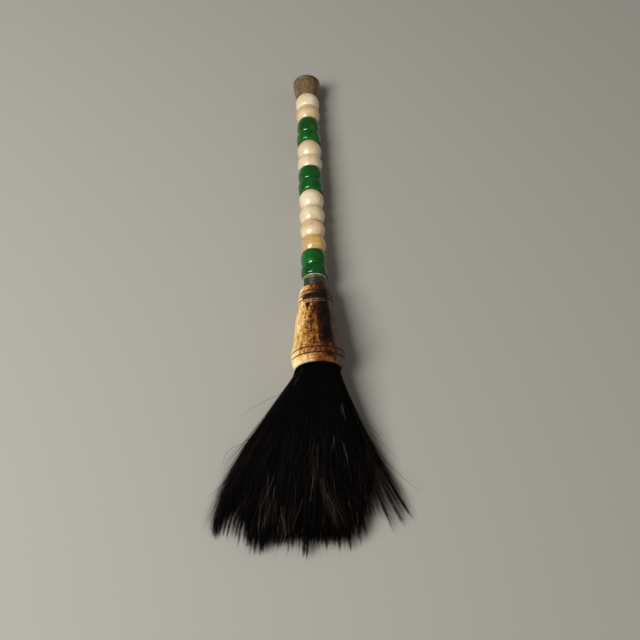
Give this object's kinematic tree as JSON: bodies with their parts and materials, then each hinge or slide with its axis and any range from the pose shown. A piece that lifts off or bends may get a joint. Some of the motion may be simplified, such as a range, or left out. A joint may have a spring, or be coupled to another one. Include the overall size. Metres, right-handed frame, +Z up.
{
  "type": "calligraphy brush",
  "caption": "Large calligraphy brush lying flat, with a handle of cream and green beads that turn on a rod, a stained bell-shaped ferrule and a fanned tuft of black hair.",
  "frame": {"origin": "middle of the brush's footprint, on the surface that it lies on", "axes": "+Z up from the surface; +Y along the brush from the hair towards the end cap; +X to the right when the hair points at the viewer"},
  "size_m": [0.0996, 0.2822, 0.0276],
  "materials": {
    "cream_bead": "gloss",
    "amber_bead": "gloss",
    "green_bead": "gloss",
    "ferrule_bone": "satin",
    "collar_horn": "satin",
    "rim_horn": "satin",
    "cap_wood": "satin",
    "rod_bamboo": "matte",
    "resin": "gloss",
    "binding_thread": "matte",
    "black_hair": "satin"
  },
  "bodies": {
    "brush": {"ferrule": "ferrule_bone", "core_rod": "rod_bamboo", "neck_collar": "collar_horn", "collar_rim": "rim_horn", "end_cap": "cap_wood", "root_resin": "resin", "root_binding": "binding_thread", "hair_tuft": "black_hair"},
    "cream_bead_1": {"cream_bead_1": "cream_bead"},
    "cream_bead_2": {"cream_bead_2": "cream_bead"},
    "green_bead_1": {"green_bead_1": "green_bead"},
    "green_bead_2": {"green_bead_2": "green_bead"},
    "cream_bead_3": {"cream_bead_3": "cream_bead"},
    "cream_bead_4": {"cream_bead_4": "cream_bead"},
    "green_bead_3": {"green_bead_3": "green_bead"},
    "green_bead_4": {"green_bead_4": "green_bead"},
    "cream_bead_5": {"cream_bead_5": "cream_bead"},
    "cream_bead_6": {"cream_bead_6": "cream_bead"},
    "cream_bead_7": {"cream_bead_7": "cream_bead"},
    "cream_bead_8": {"cream_bead_8": "amber_bead"},
    "green_bead_5": {"green_bead_5": "green_bead"},
    "green_bead_6": {"green_bead_6": "green_bead"}
  },
  "joints": [
    {"name": "cream_bead_1_spin", "type": "hinge", "parent": "brush", "child": "cream_bead_1", "pos_m": [0.00375, 0.12371, 0.00874], "axis": [0, 0.9995, -0.03], "continuous": true},
    {"name": "cream_bead_2_spin", "type": "hinge", "parent": "brush", "child": "cream_bead_2", "pos_m": [0.00375, 0.11467, 0.00901], "axis": [0, 0.9995, -0.03], "continuous": true},
    {"name": "green_bead_1_spin", "type": "hinge", "parent": "brush", "child": "green_bead_1", "pos_m": [0.00375, 0.10477, 0.00931], "axis": [0, 0.9995, -0.03], "continuous": true},
    {"name": "green_bead_2_spin", "type": "hinge", "parent": "brush", "child": "green_bead_2", "pos_m": [0.00375, 0.09613, 0.00957], "axis": [0, 0.9995, -0.03], "continuous": true},
    {"name": "cream_bead_3_spin", "type": "hinge", "parent": "brush", "child": "cream_bead_3", "pos_m": [0.00375, 0.08733, 0.00984], "axis": [0, 0.9995, -0.03], "continuous": true},
    {"name": "cream_bead_4_spin", "type": "hinge", "parent": "brush", "child": "cream_bead_4", "pos_m": [0.00375, 0.07779, 0.01012], "axis": [0, 0.9995, -0.03], "continuous": true},
    {"name": "green_bead_3_spin", "type": "hinge", "parent": "brush", "child": "green_bead_3", "pos_m": [0.00375, 0.06909, 0.01038], "axis": [0, 0.9995, -0.03], "continuous": true},
    {"name": "green_bead_4_spin", "type": "hinge", "parent": "brush", "child": "green_bead_4", "pos_m": [0.00375, 0.06084, 0.01063], "axis": [0, 0.9995, -0.03], "continuous": true},
    {"name": "cream_bead_5_spin", "type": "hinge", "parent": "brush", "child": "cream_bead_5", "pos_m": [0.00375, 0.0519, 0.0109], "axis": [0, 0.9995, -0.03], "continuous": true},
    {"name": "cream_bead_6_spin", "type": "hinge", "parent": "brush", "child": "cream_bead_6", "pos_m": [0.00375, 0.0418, 0.0112], "axis": [0, 0.9995, -0.03], "continuous": true},
    {"name": "cream_bead_7_spin", "type": "hinge", "parent": "brush", "child": "cream_bead_7", "pos_m": [0.00375, 0.03196, 0.0115], "axis": [0, 0.9995, -0.03], "continuous": true},
    {"name": "cream_bead_8_spin", "type": "hinge", "parent": "brush", "child": "cream_bead_8", "pos_m": [0.00375, 0.02231, 0.01179], "axis": [0, 0.9995, -0.03], "continuous": true},
    {"name": "green_bead_5_spin", "type": "hinge", "parent": "brush", "child": "green_bead_5", "pos_m": [0.00375, 0.01286, 0.01207], "axis": [0, 0.9995, -0.03], "continuous": true},
    {"name": "green_bead_6_spin", "type": "hinge", "parent": "brush", "child": "green_bead_6", "pos_m": [0.00375, 0.00507, 0.01231], "axis": [0, 0.9995, -0.03], "continuous": true}
  ]
}
